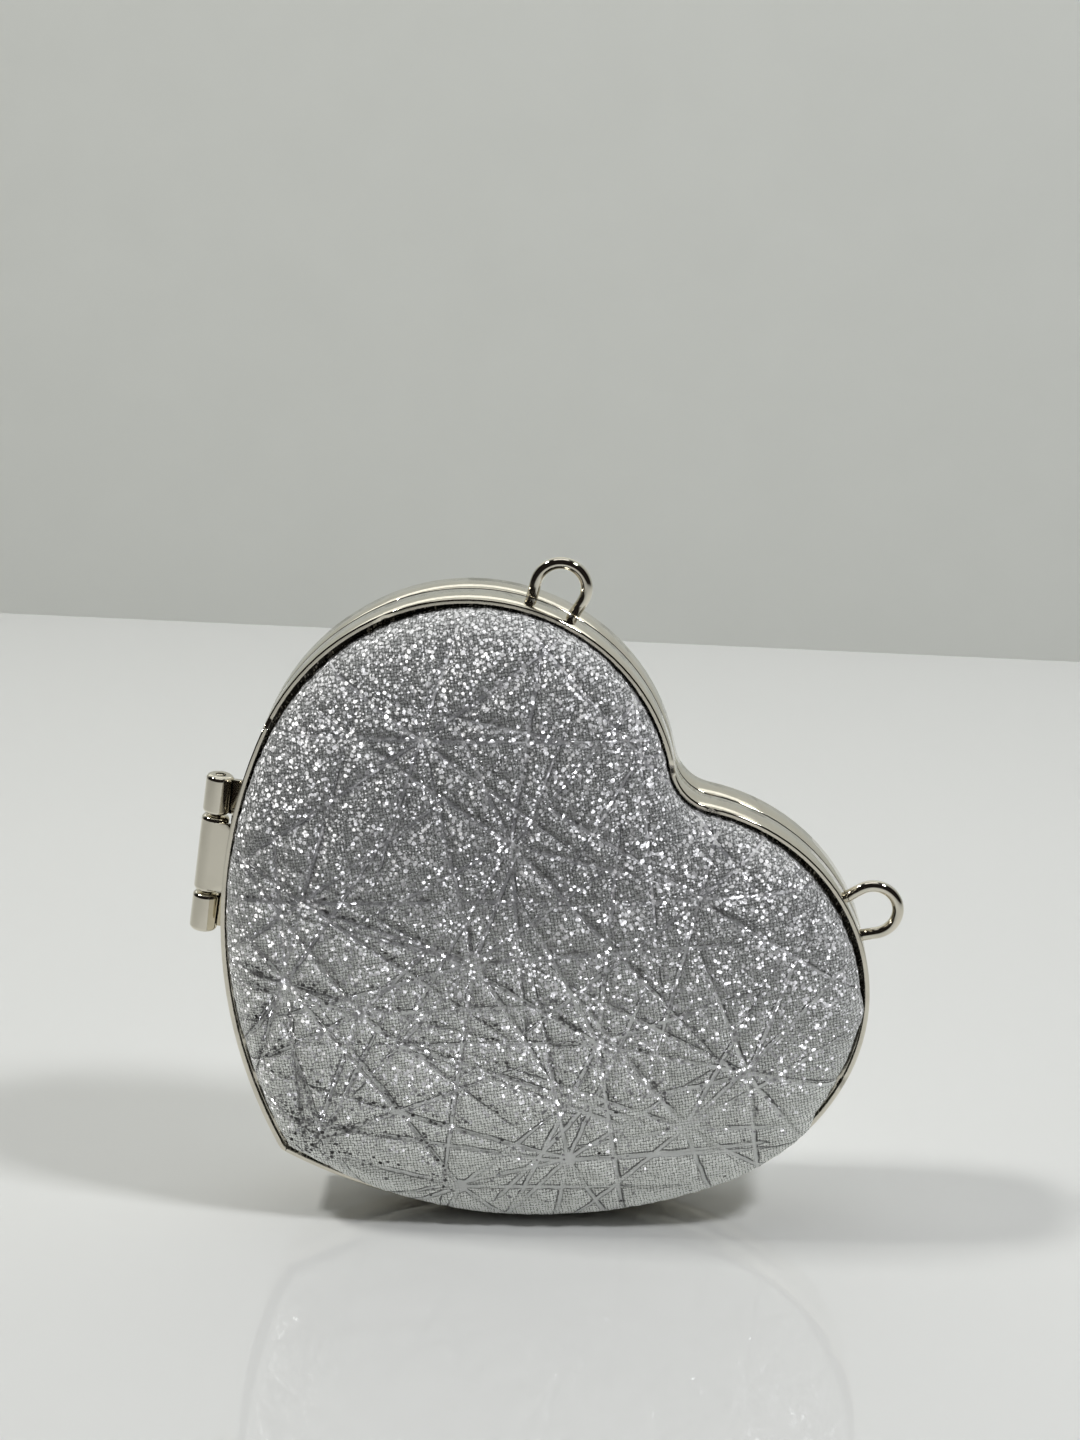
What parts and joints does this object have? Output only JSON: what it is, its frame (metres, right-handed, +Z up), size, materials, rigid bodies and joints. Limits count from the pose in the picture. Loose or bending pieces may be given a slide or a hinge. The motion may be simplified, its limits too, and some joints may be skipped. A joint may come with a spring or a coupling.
{
  "type": "heart shaped purse",
  "caption": "Heart shaped hard evening purse: polished frame halves on a side hinge, padded glitter panels, strap loops and a push catch.",
  "frame": {"origin": "centre of the bounding box on the surface that the purse stands on, under its lower long side", "axes": "+X to the right along the table as seen from the front, +Y to the back through the purse's thickness, +Z up; the heart leans to the left, with its tip at the lower left and the hinge on the left"},
  "size_m": [0.1348, 0.0344, 0.1275],
  "materials": {
    "nickel": "polished pale nickel plate on steel, mirror bright, a little warm",
    "glitter_cloth": "fine woven silver metallic cloth, creased, dusted with white glitter",
    "padding": "soft off-white wadding under the cloth",
    "shell": "moulded dark board, matt",
    "lining": "plain grey satin cloth",
    "catch_steel": "stamped and nickel plated sheet, satin",
    "spring_steel": "hardened spring strip and small screws, plain steel"
  },
  "bodies": {
    "back_half": {"back_frame": "nickel", "back_shell": "shell", "back_padding": "padding", "back_cover": "glitter_cloth", "back_lining": "lining", "hinge_back_leaf": "nickel", "hinge_pin": "nickel", "strap_loop_upper": "nickel", "strap_loop_side": "nickel", "catch_housing": "catch_steel", "catch_plate": "catch_steel", "catch_screws": "spring_steel", "catch_spring": "spring_steel"},
    "front_half": {"front_frame": "nickel", "front_shell": "shell", "front_padding": "padding", "front_cover": "glitter_cloth", "front_lining": "lining", "hinge_front_leaf": "nickel", "catch_hook": "catch_steel"},
    "push_button": {"push_button": "nickel"}
  },
  "joints": [
    {"name": "front_half_hinge", "type": "hinge", "parent": "back_half", "child": "front_half", "pos_m": [-0.0627, 0, 0.07007], "axis": [-0.1418, 0, -0.9899], "range_deg": [0, 180]},
    {"name": "push_button_slide", "type": "slide", "parent": "back_half", "child": "push_button", "axis": [-0.2173, 0, 0.9761], "range_m": [0, 0.001], "stiffness_N_per_m": 800, "springref_m": -0.0005, "deforming": ["catch_spring"]}
  ]
}
